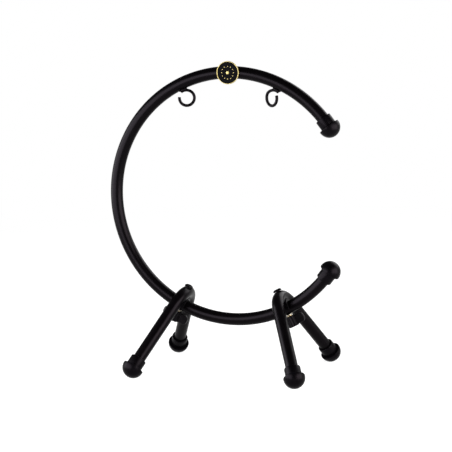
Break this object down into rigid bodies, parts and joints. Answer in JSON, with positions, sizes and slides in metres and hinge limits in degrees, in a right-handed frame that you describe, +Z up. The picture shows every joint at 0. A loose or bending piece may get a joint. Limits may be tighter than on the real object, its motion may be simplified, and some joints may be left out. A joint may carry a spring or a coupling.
{
  "type": "gong stand",
  "caption": "Table-top gong stand: an open ring of bent steel tube with welded hooks, on two splayed tube legs held by bolts, saddles and wing knobs.",
  "frame": {"origin": "on the floor, under the middle of the stand's bounding box", "axes": "+Z up; the ring lies in the XZ plane and is open towards +X; its front, with the badge, faces -Y"},
  "size_m": [0.4884, 0.3008, 0.6274],
  "materials": {
    "powder_coat": "satin black powder coat with a fine even texture",
    "black_bolt": "black oxide, slightly oily",
    "black_rubber": "matte moulded rubber",
    "moulded_plastic": "fine-grained moulded nylon",
    "brass_insert": "turned brass",
    "zinc_washer": "bright zinc plate",
    "gold_trim": "polished gold plate",
    "badge_enamel": "gloss black enamel",
    "foam_tape": "dark foam adhesive pad"
  },
  "bodies": {
    "stand": {"ring_tube": "powder_coat", "ring_cap_upper": "black_rubber", "ring_cap_lower": "black_rubber", "hook_left": "powder_coat", "hook_right": "powder_coat", "badge_plate": "gold_trim", "badge_face": "badge_enamel", "badge_pad": "foam_tape", "leg_left": "powder_coat", "foot_cap_left_front": "black_rubber", "foot_cap_left_back": "black_rubber", "saddle_left": "moulded_plastic", "clamp_bolt_left": "black_bolt", "leg_right": "powder_coat", "foot_cap_right_front": "black_rubber", "foot_cap_right_back": "black_rubber", "saddle_right": "moulded_plastic", "clamp_bolt_right": "black_bolt"},
    "washer_left": {"knob_washer_left": "zinc_washer"},
    "knob_left": {"wing_knob_left": "moulded_plastic", "knob_insert_left": "brass_insert"},
    "washer_right": {"knob_washer_right": "zinc_washer"},
    "knob_right": {"wing_knob_right": "moulded_plastic", "knob_insert_right": "brass_insert"}
  },
  "joints": [
    {"name": "knob_travel_left", "type": "slide", "parent": "stand", "child": "washer_left", "axis": [-0.4509, 0, -0.8926], "range_m": [0, 0.0125]},
    {"name": "knob_turn_left", "type": "hinge", "parent": "washer_left", "child": "knob_left", "pos_m": [-0.10109, 0, 0.11814], "axis": [-0.4509, 0, -0.8926], "range_deg": [0, 3600]},
    {"name": "knob_travel_right", "type": "slide", "parent": "stand", "child": "washer_right", "axis": [0.4509, 0, -0.8926], "range_m": [0, 0.0125]},
    {"name": "knob_turn_right", "type": "hinge", "parent": "washer_right", "child": "knob_right", "pos_m": [0.13761, 0, 0.11814], "axis": [0.4509, 0, -0.8926], "range_deg": [0, 3600]}
  ],
  "couplings": [
    {"joint": "knob_travel_left", "follows": "knob_turn_left", "m_per_rad": 0.00019894},
    {"joint": "knob_travel_right", "follows": "knob_turn_right", "m_per_rad": 0.00019894}
  ]
}
